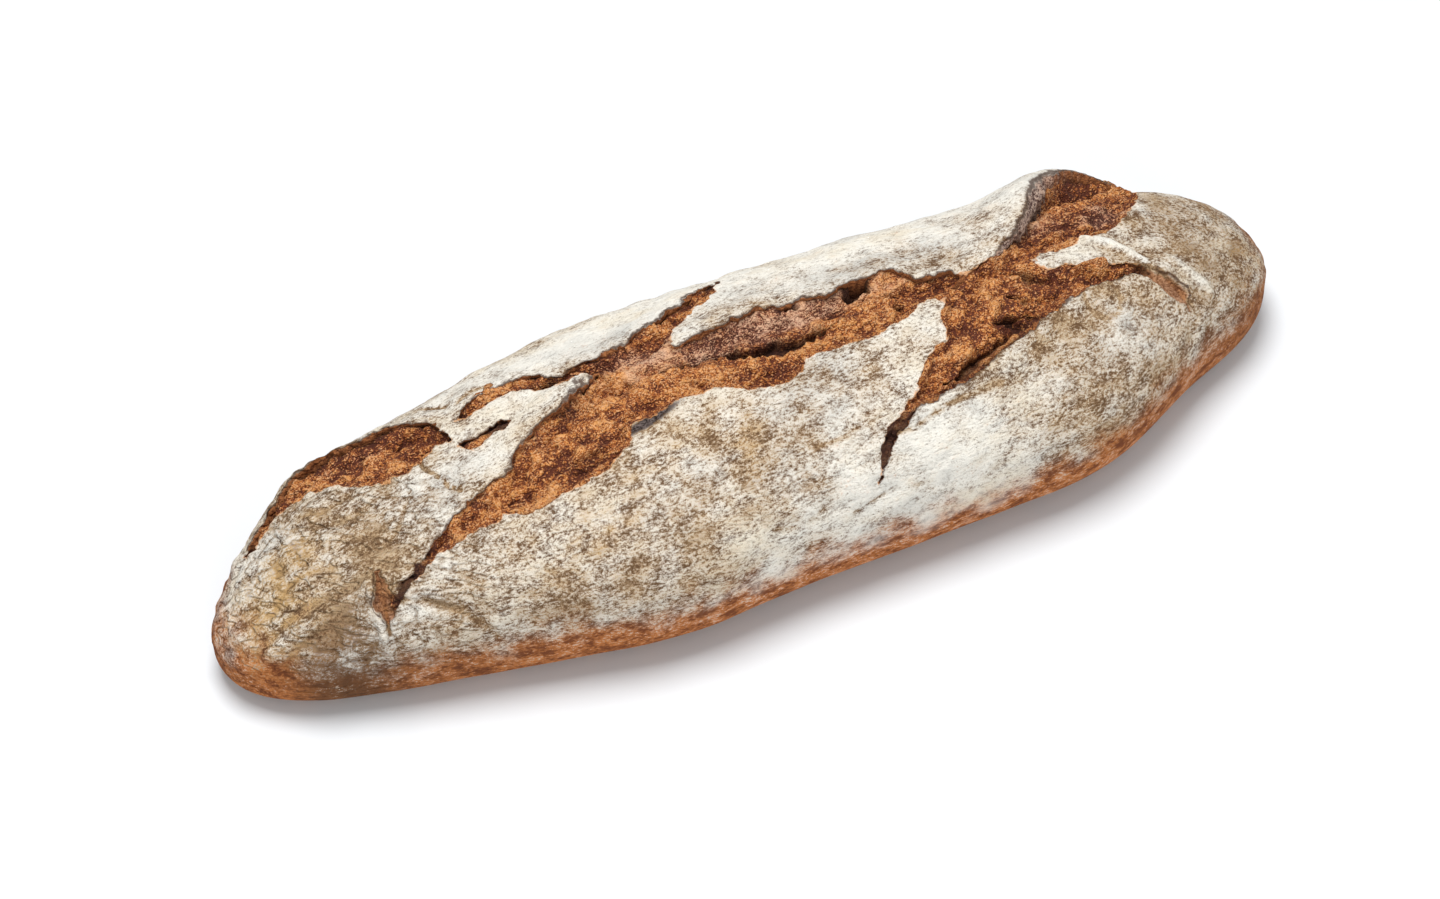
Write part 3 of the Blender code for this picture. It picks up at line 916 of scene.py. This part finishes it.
@dataclass
class Crumb:
    """The loaf's inner piece: the moist crumb, which shows and bulges in every opening."""

    form: LoafForm
    tears: Tears
    grid: Grid = Grid(216, 140, 0.3, ((-1.0, 4.5 * MM), (-1.0, 2.5 * MM)))
    least_depth: float = 0.6 * MM
    facing_depth: float = 1.2 * MM
    flat_slope: float = 4 * MM
    facing_slope: float = 5 * MM
    swell_reach: tuple = (-3 * MM, -12 * MM)
    floor_depth: float = 0.6
    under_crust: float = 0.8
    under_crust_reach: float = 5 * MM
    scar_depth: float = 4 * MM
    lower_depth: float = 6 * MM
    lowest: float = 4 * MM
    lift_reach: float = 3 * MM
    calm_at_pockets: tuple = (1 * MM, 3 * MM)
    pocket_wall: tuple = (0.4 * MM, -1.3 * MM)
    pocket_brink: float = 1.5 * MM
    pocket_depth: float = 5 * MM
    lumps: Waves = ((12, 1.3), (5.5, 0.8))
    fibres: Waves = ((3.0, 0.7), (1.5, 0.5))
    fibre_stretch: tuple = (1.6, 1.0, 1.0)
    folds: Waves = ((9, 4.4), (4, 2.6))
    fold_top: float = 0.5
    fold_middle: float = 0.2
    relief_shade_range: float = 4.8
    sways: Waves = ((5, 1.0), (2.3, 0.5))
    curl: float = 1.3 * MM
    flap_thickness: float = 4.5 * MM
    lift_upward: float = 1.5
    golden: tuple = patches(
        (0, -8, 90, 9, 0.55), (-95, -18, 40, 10, 0.8), (85, -22, 60, 12, 0.8),
        (-40, 8, 20, 6, 0.4), (-150, 24, 40, 14, 0.5), (140, 12, 24, 16, 0.5),
    )
    # Spots of tone on the crumb. The dark ones at pockets, slits and the crater are painted shade.
    tones_and_shade_spots: tuple = patches(
        (-76, -19, 9, 3.5, -0.3), (-64, -12, 5, 3, -0.25), (-78, -9, 34, 13, 0.17),
        (-45, 9, 18, 3, 0.3, 10), (-58, 0, 7, 4, 0.22), (24, -7.5, 14, 2.2, 0.2, 4),
        (40, 7, 46, 6, 0.26), (108, 14, 22, 12, 0.14), (10, -11, 20, 4, -0.08),
        (8, 2, 14, 3, -0.1), (88, -25, 16, 3.5, -0.35), (138, -17, 9, 2.5, -0.35),
        (-80, 21, 10, 3, -0.3), (150, 32, 12, 4, -0.3), (-136, 31, 24, 3, -0.25),
        (-8, 31, 16, 4, 0.2, 40), (80, -8, 10, 6, 0.15),
    )
    strands: tuple = (
        Crease(((4, -8), (14, -7.5), (28, -7)), 1.6, 1.4),
        Crease(((-62, 6), (-50, 9.5), (-36, 12), (-20, 14)), 1.4, 1.3),
        Crease(((-90, -8), (-78, -3), (-66, 2), (-56, 4)), 1.3, 1.2),
        Crease(((-96, -20), (-84, -13), (-70, -9), (-56, -5)), 1.4, -1.5),
        Crease(((-30, -4), (-14, -6), (0, -9)), 1.4, 1.1),
        Crease(((30, 4), (44, 3), (58, 2)), 1.2, -1.4),
        Crease(((62, -26), (72, -20), (80, -10)), 1.4, -1.4),
        Crease(((84, -8), (96, -6), (108, -10)), 1.4, 1.3),
        Crease(((112, 8), (126, 12), (140, 12), (152, 18)), 1.5, -1.4),
        Crease(((118, 16), (132, 22), (146, 24)), 1.5, 1.4),
        Crease(((-172, 27), (-158, 26), (-144, 22)), 1.3, 1.2),
        Crease(((-150, 31), (-136, 28), (-124, 26)), 1.2, -1.3),
    )
    purple: tuple = patches(
        (10, 8, 60, 8, 0.7), (-45, 16, 30, 6, 0.5), (148, 14, 12, 8, 0.7),
        (-150, 30, 30, 8, 0.4), (120, 16, 14, 10, 0.5),
    )

    def build(self, middle: Array) -> bpy.types.Object:
        """Make the crumb.

        Args:
            middle: The middle of the crust's box before it was centred.

        Returns:
            The object.
        """
        reader = Reader(self.form, self.tears.openings)
        skin = self.grid.laid_on(self.form, reader)
        torn = reader.read(skin.points)
        pocket = Reader(self.form, self.tears.pockets)
        pocket.calm_from, pocket.calm_to = self.calm_at_pockets
        holes = pocket.read(skin.points)

        under_flap = torn.on_flap()
        rim = -(self.least_depth + self.facing_depth * torn.facing + self.flap_thickness * under_flap)
        floor = torn.swell * smooth_step(*self.swell_reach, torn.edge)
        floor -= torn.depth * (self.floor_depth + (1 - self.floor_depth) * torn.facing)
        sinking = smooth_step(0, 1, -torn.edge / (self.flat_slope + self.facing_slope * torn.facing))
        level = rim + (floor - rim) * sinking
        level -= self.under_crust * np.clip(torn.edge, 0, self.under_crust_reach)
        level -= self.scar_depth * (1 - torn.holds_crumb)
        lifted = torn.raised * (1 - sinking) * smooth_step(self.lift_reach, 0, torn.edge)

        inside = smooth_step(2 * MM, -1 * MM, torn.edge)
        lumps = waves(skin.points, self.lumps, seed=3.1)
        fibre = waves(skin.points, self.fibres, self.fibre_stretch, seed=11.7)
        folds = np.zeros(len(skin.points))
        for length, height in self.folds:
            fold = waves(skin.points, ((length, 1),), self.fibre_stretch, seed=5.9)
            folds += height * (np.clip(np.abs(fold), 0, self.fold_top) - self.fold_middle)
        strand, _ = lines_over(self.strands, self.form.unrolled(skin.points), self.form)
        relief = lumps + fibre + folds + strand / MM
        sunk = smooth_step(*self.pocket_wall, holes.edge)
        level += (relief * MM * (1 - 0.6 * sunk)) * inside - holes.depth * sunk * inside

        sway_along = waves(skin.points, self.sways, seed=2.7)
        sway_around = waves(skin.points, self.sways, seed=9.4)
        brink = np.exp(-np.abs(holes.edge) / self.pocket_brink) * smooth_step(0.2, 0.8, holes.facing)
        lift = skin.lifting(self.lift_upward)
        placed = (
            skin.points
            + skin.normals * np.where(skin.upper > 0, level, -self.lower_depth)[:, None]
            + lift * (lifted * skin.upper)[:, None]
            + skin.along * (sway_along * self.curl * inside)[:, None]
            + skin.around * (sway_around * self.curl * inside)[:, None]
            - skin.sideways(holes.across) * (holes.overhang * brink * inside)[:, None]
        )
        placed -= middle
        placed[:, 2] = np.maximum(placed[:, 2], self.lowest)

        # Painted shade, gathered in the hollow mark: the pockets darken by their depth, and so do the crumb
        # in a line under the lifted crust's edges, the crumb under the top of the flap, and narrow slits.
        pocket_shade = sunk * np.clip(holes.depth / self.pocket_depth, 0, 1)
        under_edge_shade = 0.9 * smooth_step(-2.2 * MM, 0.2 * MM, torn.edge) * torn.facing
        under_flap_shade = 0.7 * under_flap * smooth_step(-9 * MM, -3 * MM, torn.edge)
        crumb_slit_shade = smooth_step(2.2 * MM, 0.9 * MM, torn.width)
        plan = skin.plan()
        marks = {
            # Painted shade and highlight: the high mark follows the crumb's relief height, darker in its
            # hollows and paler on its ridges, plus the spots of tone.
            "high": np.clip(0.5 + relief / self.relief_shade_range + spread(self.tones_and_shade_spots, plan), 0, 1),
            "hollow_shade": np.clip(pocket_shade + under_edge_shade + under_flap_shade + crumb_slit_shade, 0, 1),
            "golden": np.clip(spread(self.golden, plan), 0, 1),
            "purple": np.clip(spread(self.purple, plan), 0, 1),
        }
        return skin.piece("torn_crumb", placed, marks)


def linear(colour: Colour, light: float = 1.15) -> tuple[float, float, float, float]:
    """The colour that a shader takes for one given as it shows, in values from 0 to 255.

    Args:
        colour: The colour as it shows under the studio's light.
        light: How much light falls on the surface, where 1 shows its own colour.

    Returns:
        The linear colour, opaque.
    """
    shares = [value / 255 for value in colour]
    shown = [s / 12.92 if s <= 0.04045 else ((s + 0.055) / 1.055) ** 2.4 for s in shares]
    return (*(value / light for value in shown), 1.0)


class Surface:
    """A matt material whose nodes are written as short calls. Sizes are in millimetres."""

    def __init__(self, name: str, roughness: float, specular: float) -> None:
        """Start a material.

        Args:
            name: Its name.
            roughness: How matt it is, from 0 to 1.
            specular: How much it shines.
        """
        self.material = bpy.data.materials.new(name)
        self.material.use_nodes = True
        self.tree = self.material.node_tree
        self.shader = self.tree.nodes["Principled BSDF"]
        self.shader.inputs["Roughness"].default_value = roughness
        self.shader.inputs["Specular IOR Level"].default_value = specular
        self.place = self.tree.nodes.new("ShaderNodeTexCoord").outputs["Object"]

    def feed(self, socket: bpy.types.NodeSocket, value: object) -> None:
        """Link a socket to another one, or set it to a number or colour.

        Args:
            socket: The socket that takes the value.
            value: Another socket, a number or a linear colour.
        """
        if isinstance(value, bpy.types.NodeSocket):
            self.tree.links.new(value, socket)
        else:
            socket.default_value = value

    def mark(self, name: str) -> bpy.types.NodeSocket:
        """Read one of the mesh's own marks.

        Args:
            name: The mark's name.

        Returns:
            Its value.
        """
        node = self.tree.nodes.new("ShaderNodeAttribute")
        node.attribute_name = name
        return node.outputs["Fac"]

    def scaled(
        self, size: float, stretch: Sequence[float] = (1, 1, 1), turn: float = 0
    ) -> bpy.types.NodeSocket:
        """Count the place on the object in cells.

        Args:
            size: The cells' size.
            stretch: How much longer the cells are along X, Y and Z.
            turn: How far they are turned about the upright axis, in degrees.

        Returns:
            The place.
        """
        aslant = self.tree.nodes.new("ShaderNodeMapping")
        self.feed(aslant.inputs["Vector"], self.place)
        aslant.inputs["Rotation"].default_value = (0, 0, math.radians(turn))
        node = self.tree.nodes.new("ShaderNodeMapping")
        self.feed(node.inputs["Vector"], aslant.outputs["Vector"])
        node.inputs["Scale"].default_value = [1 / (size * MM * longer) for longer in stretch]
        return node.outputs["Vector"]

    def noise(
        self, size: float, detail: float = 2, stretch: Sequence[float] = (1, 1, 1), shift: float = 0,
        turn: float = 0,
    ) -> bpy.types.NodeSocket:
        """Make soft random waves around 0, mostly within a quarter either way.

        Args:
            size: The largest waves' size.
            detail: How many finer sets of waves lie over them.
            stretch: How much longer the waves are along X, Y and Z.
            shift: Moves the waves, so that two uses differ.
            turn: How far they are turned about the upright axis, in degrees.

        Returns:
            The waves' height.
        """
        node = self.tree.nodes.new("ShaderNodeTexNoise")
        place = self.tree.nodes.new("ShaderNodeVectorMath")
        place.operation = "ADD"
        place.inputs[1].default_value = (shift, shift, shift)
        self.feed(place.inputs[0], self.scaled(size, stretch, turn))
        self.feed(node.inputs["Vector"], place.outputs["Vector"])
        node.inputs["Scale"].default_value = 1
        node.inputs["Detail"].default_value = detail
        return self.sum("SUBTRACT", node.outputs["Fac"], 0.5)

    def cells(self, size: float) -> bpy.types.NodeSocket:
        """Scatter points.

        Args:
            size: How far the points are from each other.

        Returns:
            The distance to the nearest point, in sizes.
        """
        node = self.tree.nodes.new("ShaderNodeTexVoronoi")
        self.feed(node.inputs["Vector"], self.scaled(size))
        node.inputs["Scale"].default_value = 1
        return node.outputs["Distance"]

    def level(self) -> bpy.types.NodeSocket:
        """Measure the height over the floor.

        Returns:
            The height in millimetres.
        """
        node = self.tree.nodes.new("ShaderNodeSeparateXYZ")
        self.feed(node.inputs["Vector"], self.place)
        return self.sum("DIVIDE", node.outputs["Z"], MM)

    def sum(self, operation: str, *values: object) -> bpy.types.NodeSocket:
        """Do one step of arithmetic.

        Args:
            operation: The step's name in Blender.
            values: Sockets or numbers.

        Returns:
            The result.
        """
        node = self.tree.nodes.new("ShaderNodeMath")
        node.operation = operation
        for socket, value in zip(node.inputs, values):
            self.feed(socket, value)
        return node.outputs["Value"]

    def total(self, *parts: tuple[object, float]) -> bpy.types.NodeSocket:
        """Add up parts.

        Args:
            parts: Each a socket or number, and how much of it counts.

        Returns:
            The sum.
        """
        result: object = 0.0
        for value, amount in parts:
            result = self.sum("MULTIPLY_ADD", value, amount, result)
        return result

    def ease(self, value: object, low: float, high: float) -> bpy.types.NodeSocket:
        """Ease from 0 at low to 1 at high.

        Args:
            value: What to read.
            low: The value where the result is 0. It may be the larger one.
            high: The value where the result is 1.

        Returns:
            The eased share.
        """
        node = self.tree.nodes.new("ShaderNodeMapRange")
        node.interpolation_type = "SMOOTHSTEP"
        self.feed(node.inputs["Value"], value)
        node.inputs["From Min"].default_value = low
        node.inputs["From Max"].default_value = high
        return node.outputs["Result"]

    def blend(self, share: object, low: object, high: object) -> bpy.types.NodeSocket:
        """Mix two colours.

        Args:
            share: How much of the high colour there is.
            low: A socket or a colour.
            high: Another one.

        Returns:
            The mixed colour.
        """
        node = self.tree.nodes.new("ShaderNodeMix")
        node.data_type = "RGBA"
        self.feed(node.inputs["Factor"], share)
        self.feed(node.inputs[6], low if isinstance(low, bpy.types.NodeSocket) else linear(low))
        self.feed(node.inputs[7], high if isinstance(high, bpy.types.NodeSocket) else linear(high))
        return node.outputs[2]

    def spot(
        self, mark: str, low: float, high: float, *ragged: tuple[object, float]
    ) -> bpy.types.NodeSocket:
        """Ease in one of the mesh's marks, with a border that other parts break up."""
        return self.ease(self.total((self.mark(mark), 1), *ragged), low, high)

    def tint(self, colour: object, share: object, amount: float, other: object) -> bpy.types.NodeSocket:
        """Mix a share, of which only some amount counts, of another colour into a colour."""
        return self.blend(self.sum("MULTIPLY", share, amount), colour, other)

    def ramp(self, value: object, stops: Sequence[tuple[float, Colour]]) -> bpy.types.NodeSocket:
        """Read a colour from stops along a value.

        Args:
            value: What to read.
            stops: Pairs of a place along the value and the colour there.

        Returns:
            The colour.
        """
        node = self.tree.nodes.new("ShaderNodeValToRGB")
        bar = node.color_ramp
        for _ in range(len(stops) - 2):
            bar.elements.new(0.5)
        for element, (place, colour) in zip(bar.elements, stops):
            element.position = place
            element.color = linear(colour)
        self.feed(node.inputs["Fac"], value)
        return node.outputs["Color"]

    def finish(self, colour: bpy.types.NodeSocket, height: bpy.types.NodeSocket) -> bpy.types.Material:
        """Give the shader its colour and its relief.

        Args:
            colour: The colour.
            height: The relief's height, in millimetres.

        Returns:
            The finished material.
        """
        bump = self.tree.nodes.new("ShaderNodeBump")
        bump.inputs["Distance"].default_value = MM
        self.feed(bump.inputs["Height"], height)
        self.feed(self.shader.inputs["Base Color"], colour)
        self.feed(self.shader.inputs["Normal"], bump.outputs["Normal"])
        return self.material


@dataclass(frozen=True)
class FlouredCrust:
    """Browned crust under a thin grainy coat of flour, finely wrinkled, and redder at the base."""

    dark_brown: Colour = (102, 77, 55)
    brown: Colour = (155, 127, 95)
    light_brown: Colour = (204, 182, 150)
    toasted: Colour = (96, 66, 44)
    ochre: Colour = (192, 156, 104)
    grey_flour: Colour = (208, 206, 199)
    flour: Colour = (234, 230, 220)
    cream_flour: Colour = (226, 216, 196)
    crease: Colour = (98, 74, 54)
    slate: Colour = (108, 96, 92)
    slate_shade: Colour = (38, 30, 28)
    burnt_edge_and_shade: Colour = (66, 38, 24)
    flush_edge: Colour = (206, 144, 88)
    cut_face: Colour = (160, 104, 64)
    cut_shade: Colour = (96, 54, 34)
    flap_face: Colour = (196, 172, 156)
    flap_shade: Colour = (84, 62, 58)
    under_edge_shade: Colour = (44, 22, 14)
    scar: Colour = (174, 120, 78)
    scar_shade: Colour = (112, 66, 42)
    base: Colour = (194, 122, 68)
    base_shade: Colour = (116, 66, 40)

    def material(self) -> bpy.types.Material:
        """Make the material.

        Returns:
            The material.
        """
        s = Surface("floured_crust", roughness=0.95, specular=0.1)
        broad, mid = s.noise(13, 3), s.noise(4.5, 3, (1.5, 1, 1), shift=4.2)
        fine, finest = s.noise(0.9, 3, (1.7, 1, 1), shift=9.1), s.noise(0.45, 1, shift=1.7)
        drift = s.noise(26, 2, (1.6, 1, 1), shift=6.6)
        grain = s.total((fine, 1.0), (finest, 0.6))
        furrows = s.sum("ABSOLUTE", s.noise(5, 2, (2.4, 1, 1), shift=2.9, turn=10))
        rarely = s.sum("MULTIPLY", s.ease(furrows, 0.04, 0.0), s.ease(mid, -0.02, 0.12))
        folds = s.sum("ABSOLUTE", s.noise(4.5, 1, (2.8, 1, 1), shift=5.9, turn=32))
        aslant = s.sum("MULTIPLY", s.ease(folds, 0.07, 0.0), s.mark("nose"))
        line = s.total((rarely, 0.3), (aslant, 0.7))

        under = s.ramp(s.total((mid, 1.0), (grain, 1.2), (0.5, 1)), (
            (0.25, self.dark_brown), (0.5, self.brown), (0.75, self.light_brown)))
        under = s.blend(s.spot("ochre", 0.2, 0.9, (mid, 1.6), (grain, 1)), under, self.ochre)
        under = s.blend(s.spot("toast", 0.2, 1.0, (mid, 1.6), (grain, 2)), under, self.toasted)
        powder = s.ramp(s.total((drift, 1.4), (mid, 0.6), (0.5, 1)), (
            (0.2, self.grey_flour), (0.5, self.flour), (0.85, self.cream_flour)))
        cover = s.total((s.mark("flour"), 1), (broad, 1.5), (mid, 0.7), (grain, 1.75), (line, -0.3))
        colour = s.blend(s.ease(cover, -0.1, 0.95), under, powder)
        # Painted shade: the wrinkle lines, which are also grooves in the bump, darken toward the crease
        # colour. They also carry less flour.
        colour = s.tint(colour, line, 0.35, self.crease)

        pits = s.ease(s.total((s.cells(2.6), 1), (s.mark("pitted"), -0.3), (mid, 0.25)), 0.02, -0.06)
        colour = s.tint(colour, pits, 0.85, self.toasted)
        scar = s.ramp(s.total((grain, 1.8), (mid, 1.2), (0.5, 1)), (
            (0.2, self.scar_shade), (0.8, self.scar)))
        colour = s.tint(colour, s.spot("scar", 0.15, 0.85, (grain, 1.4), (mid, 1)), 0.85, scar)

        floury = s.total((s.mark("flour"), 6), (s.mark("nose"), 3))
        low = s.ease(s.total((s.level(), 1), (broad, 30), (mid, 10), (floury, 1)), 44, 24)
        bare = s.ease(s.total((grain, 1), (mid, 0.8), (s.level(), 0.006)), 0.56, 0.16)
        base = s.ramp(s.total((mid, 1.6), (fine, 1.2), (0.5, 1)), (
            (0.25, self.base_shade), (0.7, self.base)))
        base = s.blend(s.ease(s.mark("toast"), 0.05, 0.8), base, self.toasted)
        colour = s.blend(s.sum("MULTIPLY", low, bare), colour, base)

        ashen = s.ramp(s.total((grain, 2.2), (0.5, 1)), ((0.2, self.slate_shade), (0.85, self.slate)))
        colour = s.blend(s.spot("slate", 0.35, 0.85, (grain, 1.2)), colour, ashen)
        # Burnt edge and painted shadow: a dark line along the torn edges where the crust lifts over the
        # opening.
        colour = s.tint(colour, s.spot("rim", 0.45, 0.95, (fine, 1.2)), 0.85, self.burnt_edge_and_shade)
        colour = s.tint(colour, s.spot("flush", 0.45, 0.95, (fine, 1.2)), 0.8, self.flush_edge)
        face = s.ramp(s.total((grain, 1.8), (0.5, 1)), ((0.2, self.cut_shade), (0.75, self.cut_face)))
        curled = s.ramp(s.total((grain, 2.4), (mid, 1), (0.5, 1)), (
            (0.2, self.flap_shade), (0.75, self.flap_face)))
        face = s.blend(s.mark("flap"), face, curled)
        colour = s.blend(s.spot("cut", 0.2, 0.6, (fine, 0.8)), colour, face)
        # Painted shade: the bottom of each well under the torn crust and each narrow slit take the
        # near-black under-edge colour.
        colour = s.blend(s.mark("deep"), colour, self.under_edge_shade)
        bulges = s.total((furrows, 1.6), (s.sum("MULTIPLY", folds, s.mark("nose")), 2.4))
        relief = s.total((mid, 0.6), (fine, 0.8), (finest, 0.3), (line, -0.6), (bulges, 1))
        return s.finish(colour, relief)


@dataclass(frozen=True)
class TornCrumb:
    """Moist torn crumb: golden brown and purple brown, with painted highlight on its ridges and painted
    shade in its hollows and pores.
    """

    pore_shade: Colour = (48, 22, 14)
    shade: Colour = (92, 42, 22)
    crumb: Colour = (156, 88, 42)
    golden: Colour = (186, 112, 48)
    highlight: Colour = (220, 156, 92)
    purple: Colour = (156, 104, 80)
    purple_shade: Colour = (82, 46, 35)
    purple_light: Colour = (216, 174, 144)

    def material(self) -> bpy.types.Material:
        """Make the material.

        Returns:
            The material.
        """
        s = Surface("torn_crumb", roughness=0.75, specular=0.3)
        mid, finest = s.noise(5, 3, (1.5, 1, 1)), s.noise(0.5, 1, shift=8.4)
        curds = s.sum("ABSOLUTE", s.noise(2.2, 1, (1.4, 1, 1), shift=3.3))
        crumbs = s.sum("ABSOLUTE", s.noise(1.0, 1, (1.2, 1, 1), shift=6.1))
        # Painted shade and highlight: high follows the relief's height and the bump's curds and crumbs, so
        # the ramps below run from shade in the low places to highlight on the ridges.
        high = s.total(
            (s.mark("high"), 0.85), (mid, 0.7), (curds, 2.1), (crumbs, 3.3), (finest, 1.3), (-0.36, 1))
        browns = self.shade, self.crumb, self.golden, self.highlight
        warm = s.ramp(high, list(zip((0.26, 0.46, 0.64, 0.86), browns)))
        plain = s.ramp(high, list(zip((0.26, 0.5, 0.72, 0.94), browns)))
        dull = s.ramp(high, ((0.26, self.purple_shade), (0.48, self.purple), (0.76, self.purple_light)))
        colour = s.blend(s.spot("golden", 0.2, 0.8, (mid, 1)), plain, warm)
        colour = s.blend(s.spot("purple", 0.25, 0.85, (mid, 1)), colour, dull)
        dry = s.ease(s.total((crumbs, 2.0), (finest, 1.2), (s.mark("high"), 0.3)), 0.4, 0.64)
        colour = s.tint(colour, dry, 0.4, self.purple_light)
        # Painted shade in the creases between the curds.
        crease_shade = s.sum("MULTIPLY", s.ease(curds, 0.025, 0.0), s.ease(mid, 0.1, -0.06))
        colour = s.tint(colour, crease_shade, 0.6, self.pore_shade)
        # Painted shade: the hollow mark darkens pockets, slits and the crumb under the lifted crust toward
        # the pore colour.
        colour = s.tint(colour, s.mark("hollow_shade"), 0.9, self.pore_shade)
        relief = s.total((mid, 0.5), (curds, 2.8), (crumbs, 1.8), (finest, 0.4))
        return s.finish(colour, relief)


@dataclass(frozen=True)
class Lamp:
    """A round soft light that faces the object: its place and size in metres, its power in watts."""

    name: str
    place: tuple
    power: float
    size: float

    def hang(self) -> None:
        """Hang the light in the scene."""
        data = bpy.data.lights.new(self.name, "AREA")
        data.shape = "DISK"
        data.size = self.size
        data.energy = self.power
        lamp = bpy.data.objects.new(self.name, data)
        lamp.location = self.place
        lamp.rotation_euler = Vector(self.place).to_track_quat("Z", "Y").to_euler()
        bpy.context.scene.collection.objects.link(lamp)


@dataclass
class Studio:
    """The pale floor, the soft light and the camera."""

    azimuth: float = -24.72
    elevation: float = 54.0
    distance: float = 1.225
    target: tuple = (-0.0182, -0.0070, 0.035)
    lens: float = 85.0
    sensor: float = 36.0
    floor_size: float = 6.0
    floor_colour: Colour = (249, 252, 255)
    floor_roughness: float = 0.9
    floor_shine: float = 0.1
    light_on_floor: float = 1.38
    sky_strength: float = 0.55
    lamps: tuple = (
        Lamp("key", place=(-0.07, 0.2, 1.67), power=28.0, size=0.75),
        Lamp("fill", place=(-0.25, -1.5, 0.35), power=12.0, size=1.4),
    )

    def build(self, middle: Array) -> None:
        """Make the studio.

        Args:
            middle: Where the object's middle was before it was centred.
        """
        bpy.context.scene.view_settings.view_transform = "Standard"
        self.lay_floor()
        self.light()
        self.place_camera(middle)

    def lay_floor(self) -> None:
        """Lay a wide plain floor at the object's foot."""
        bpy.ops.mesh.primitive_plane_add(size=self.floor_size, location=(0, 0, 0))
        floor = bpy.context.object
        floor.name = "studio_floor"
        material = bpy.data.materials.new("studio_floor")
        material.use_nodes = True
        shader = material.node_tree.nodes["Principled BSDF"]
        shader.inputs["Base Color"].default_value = linear(self.floor_colour, self.light_on_floor)
        shader.inputs["Roughness"].default_value = self.floor_roughness
        shader.inputs["Specular IOR Level"].default_value = self.floor_shine
        floor.data.materials.append(material)

    def light(self) -> None:
        """Light the object from all round, most of all from above, and a little from the front."""
        world = bpy.data.worlds.new("studio")
        world.use_nodes = True
        sky = world.node_tree.nodes["Background"]
        sky.inputs["Color"].default_value = (1, 1, 1, 1)
        sky.inputs["Strength"].default_value = self.sky_strength
        bpy.context.scene.world = world
        for lamp in self.lamps:
            lamp.hang()

    def place_camera(self, middle: Array) -> None:
        """Stand the camera at the photograph's viewing angle.

        Args:
            middle: Where the object's middle was before it was centred.
        """
        around, up = math.radians(self.azimuth), math.radians(self.elevation)
        back = Vector((math.sin(around) * math.cos(up), -math.cos(around) * math.cos(up), math.sin(up)))
        right = Vector((math.cos(around), math.sin(around), 0))
        data = bpy.data.cameras.new("camera")
        data.lens = self.lens
        data.sensor_width = self.sensor
        camera = bpy.data.objects.new("camera", data)
        turn = Matrix((right, back.cross(right), back)).transposed()
        place = Vector(self.target) - Vector(middle) + back * self.distance
        camera.matrix_world = Matrix.Translation(place) @ turn.to_4x4()
        bpy.context.scene.collection.objects.link(camera)
        bpy.context.scene.camera = camera


def dress(piece: bpy.types.Object, material: bpy.types.Material) -> None:
    """Give a piece its material, attach it to the root, and hide the solid loaf that it stands in for.

    Args:
        piece: The piece.
        material: Its material.
    """
    piece.data.materials.append(material)
    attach(piece, "root")
    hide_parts("loaf")
    LOG.info("%s: finished", piece.name)


def main() -> None:
    """Build the loaf and its studio, and report each piece."""
    logging.basicConfig(level=logging.INFO, format="%(message)s")
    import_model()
    form, tears = LoafForm(), Tears()
    crust, middle = Crust(form, tears).build()
    crumb = Crumb(form, tears).build(middle)
    dress(crust, FlouredCrust().material())
    dress(crumb, TornCrumb().material())
    Studio().build(middle)


if __name__ == "__main__":
    main()
